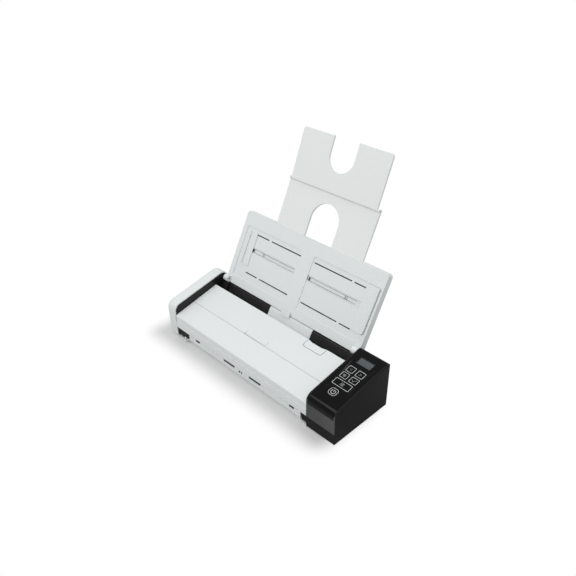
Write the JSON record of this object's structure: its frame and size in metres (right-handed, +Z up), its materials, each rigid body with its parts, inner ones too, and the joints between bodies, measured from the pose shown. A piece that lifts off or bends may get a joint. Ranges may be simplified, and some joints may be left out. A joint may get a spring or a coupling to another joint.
{
  "type": "document scanner",
  "caption": "Portable sheet-fed document scanner with a folding paper tray that closes as its lid, a hinged cover, a geared roller path and a control panel.",
  "frame": {"origin": "centre of the base's footprint, on the desk", "axes": "+X to the end with the control panel, +Y to the back, where the tray stands, +Z up"},
  "size_m": [0.318, 0.1982, 0.2658],
  "materials": {
    "white_shell": "fine satin moulding",
    "white_tray": "fine satin moulding",
    "white_plate": "smooth satin sheet",
    "black_shell": "fine textured moulding, satin sheen",
    "gloss_panel": "polished",
    "display_window": "clear, smoked",
    "display": "grey liquid crystal face",
    "key_black": "polished, light printed symbols",
    "guide_black": "textured",
    "tyre_rubber": "matt",
    "foot_rubber": "matt",
    "shaft_steel": "ground",
    "gear_plastic": "natural acetal",
    "bush_plastic": "acetal",
    "scan_housing": "dull",
    "scan_glass": "clear",
    "board_green": "lacquered board",
    "socket_steel": "plated",
    "socket_black": "moulded",
    "motor_steel": "zinc plated can",
    "pad_cork": "matt"
  },
  "bodies": {
    "base": {"base_shell": "white_shell", "left_end_cap": "white_shell", "left_side_plate": "black_shell", "right_end_cap": "black_shell", "right_side_plate": "black_shell", "control_panel": "gloss_panel", "lcd_window": "display_window", "lcd_module": "display", "panel_board": "board_green", "paper_bed": "guide_black", "rear_guide": "guide_black", "pick_cover": "white_shell", "lower_scan_unit": "scan_housing", "lower_scan_glass": "scan_glass", "main_board": "board_green", "usb_socket": "socket_steel", "dc_socket": "socket_black", "drive_motor": "motor_steel", "roller_bushes": "bush_plastic", "gear_posts": "shaft_steel", "cover_hinge_pins": "shaft_steel", "tray_hinge_pins": "shaft_steel", "rubber_feet": "foot_rubber", "base_screws": "shaft_steel"},
    "feed_roller": {"feed_shaft": "shaft_steel", "feed_tyres": "tyre_rubber", "feed_gear": "gear_plastic"},
    "drive_roller": {"drive_shaft": "shaft_steel", "drive_tyres": "tyre_rubber", "drive_gear": "gear_plastic"},
    "exit_roller": {"exit_shaft": "shaft_steel", "exit_tyres": "tyre_rubber", "exit_gear": "gear_plastic"},
    "large_idler": {"large_idler": "gear_plastic"},
    "small_idler": {"small_idler": "gear_plastic"},
    "motor_pinion": {"motor_pinion": "gear_plastic"},
    "cover": {"cover_front_shell": "white_shell", "cover_rear_panel": "white_shell", "cover_inner_guide": "guide_black", "cover_hinge_arms": "black_shell", "upper_scan_unit": "scan_housing", "upper_scan_glass": "scan_glass", "separation_pad": "pad_cork"},
    "exit_pinch_rollers": {"exit_pinch_rollers": "bush_plastic"},
    "drive_pinch_rollers": {"drive_pinch_rollers": "bush_plastic"},
    "release_button": {"release_button": "white_shell"},
    "cover_latch": {"cover_latch": "black_shell"},
    "tray": {"tray_frame": "white_tray", "extension_pins": "shaft_steel"},
    "guide_right": {"guide_right": "white_tray"},
    "guide_left": {"guide_left": "white_tray"},
    "guide_pinion": {"guide_pinion": "gear_plastic"},
    "extension_lower": {"extension_lower": "white_plate"},
    "extension_upper": {"extension_upper": "white_plate"},
    "left_key": {"left_key": "key_black"},
    "right_key": {"right_key": "key_black"},
    "mode_key": {"mode_key": "key_black"},
    "confirm_key": {"confirm_key": "key_black"},
    "start_key": {"start_key": "key_black"},
    "power_key": {"power_key": "key_black"}
  },
  "joints": [
    {"name": "feed_spin", "type": "hinge", "parent": "base", "child": "feed_roller", "pos_m": [0, 0.02546, 0.02779], "axis": [1, 0, 0], "continuous": true},
    {"name": "drive_spin", "type": "hinge", "parent": "base", "child": "drive_roller", "pos_m": [0, 0.00611, 0.02633], "axis": [1, 0, 0], "continuous": true},
    {"name": "exit_spin", "type": "hinge", "parent": "base", "child": "exit_roller", "pos_m": [0, -0.03997, 0.01605], "axis": [1, 0, 0], "continuous": true},
    {"name": "large_idler_spin", "type": "hinge", "parent": "base", "child": "large_idler", "pos_m": [0, -0.01918, 0.03029], "axis": [1, 0, 0], "continuous": true},
    {"name": "small_idler_spin", "type": "hinge", "parent": "base", "child": "small_idler", "pos_m": [0, 0.01405, 0.01901], "axis": [1, 0, 0], "continuous": true},
    {"name": "motor_spin", "type": "hinge", "parent": "base", "child": "motor_pinion", "pos_m": [0, 0.03266, 0.04026], "axis": [1, 0, 0], "continuous": true},
    {"name": "cover_hinge", "type": "hinge", "parent": "base", "child": "cover", "pos_m": [0, -0.0434, 0.0066], "axis": [1, 0, 0], "range_deg": [0, 60]},
    {"name": "exit_pinch_spin", "type": "hinge", "parent": "cover", "child": "exit_pinch_rollers", "pos_m": [0, -0.03723, 0.02357], "axis": [1, 0, 0], "continuous": true},
    {"name": "drive_pinch_spin", "type": "hinge", "parent": "cover", "child": "drive_pinch_rollers", "pos_m": [0, 0.00424, 0.03446], "axis": [1, 0, 0], "continuous": true},
    {"name": "release_press", "type": "slide", "parent": "cover", "child": "release_button", "axis": [0, 0.2164, -0.9763], "range_m": [0, 0.0015], "stiffness_N_per_m": 800},
    {"name": "latch_slide", "type": "slide", "parent": "cover", "child": "cover_latch", "axis": [-1, 0, 0], "range_m": [0, 0.0015]},
    {"name": "tray_hinge", "type": "hinge", "parent": "base", "child": "tray", "pos_m": [0, 0.0432, 0.0607], "axis": [-1, 0, 0], "range_deg": [-129.5, 0]},
    {"name": "right_guide_slide", "type": "slide", "parent": "tray", "child": "guide_right", "axis": [-1, 0, 0], "range_m": [0, 0.08]},
    {"name": "left_guide_slide", "type": "slide", "parent": "tray", "child": "guide_left", "axis": [1, 0, 0], "range_m": [0, 0.08]},
    {"name": "guide_pinion_spin", "type": "hinge", "parent": "tray", "child": "guide_pinion", "pos_m": [-0.01, 0.07276, 0.10394], "axis": [0, 0.8721, -0.4894], "range_deg": [0, 2300]},
    {"name": "lower_plate_hinge", "type": "hinge", "parent": "tray", "child": "extension_lower", "pos_m": [0, 0.09721, 0.14353], "axis": [1, 0, 0], "range_deg": [-182.7, 0]},
    {"name": "upper_plate_hinge", "type": "hinge", "parent": "extension_lower", "child": "extension_upper", "pos_m": [0, 0.12306, 0.20418], "axis": [1, 0, 0], "range_deg": [0, 176.1]},
    {"name": "left_key_press", "type": "slide", "parent": "base", "child": "left_key", "axis": [0, 0.1754, -0.9845], "range_m": [0, 0.0005], "stiffness_N_per_m": 1000},
    {"name": "right_key_press", "type": "slide", "parent": "base", "child": "right_key", "axis": [0, 0.1754, -0.9845], "range_m": [0, 0.0005], "stiffness_N_per_m": 1000},
    {"name": "mode_key_press", "type": "slide", "parent": "base", "child": "mode_key", "axis": [0, 0.1754, -0.9845], "range_m": [0, 0.0005], "stiffness_N_per_m": 1000},
    {"name": "confirm_key_press", "type": "slide", "parent": "base", "child": "confirm_key", "axis": [0, 0.1754, -0.9845], "range_m": [0, 0.0005], "stiffness_N_per_m": 1000},
    {"name": "start_key_press", "type": "slide", "parent": "base", "child": "start_key", "axis": [0, 0.1754, -0.9845], "range_m": [0, 0.0005], "stiffness_N_per_m": 1000},
    {"name": "power_key_press", "type": "slide", "parent": "base", "child": "power_key", "axis": [0, 0.1754, -0.9845], "range_m": [0, 0.0005], "stiffness_N_per_m": 1000}
  ],
  "couplings": [
    {"joint": "drive_spin", "follows": "feed_spin", "ratio": 1.6},
    {"joint": "exit_spin", "follows": "feed_spin", "ratio": 1.7143},
    {"joint": "large_idler_spin", "follows": "feed_spin", "ratio": -0.4898},
    {"joint": "small_idler_spin", "follows": "feed_spin", "ratio": -2},
    {"joint": "motor_spin", "follows": "feed_spin", "ratio": -2},
    {"joint": "latch_slide", "follows": "release_press", "ratio": 1},
    {"joint": "left_guide_slide", "follows": "right_guide_slide", "ratio": 1},
    {"joint": "guide_pinion_spin", "follows": "right_guide_slide", "rad_per_m": 500},
    {"joint": "upper_plate_hinge", "follows": "lower_plate_hinge", "ratio": -0.9638}
  ]
}
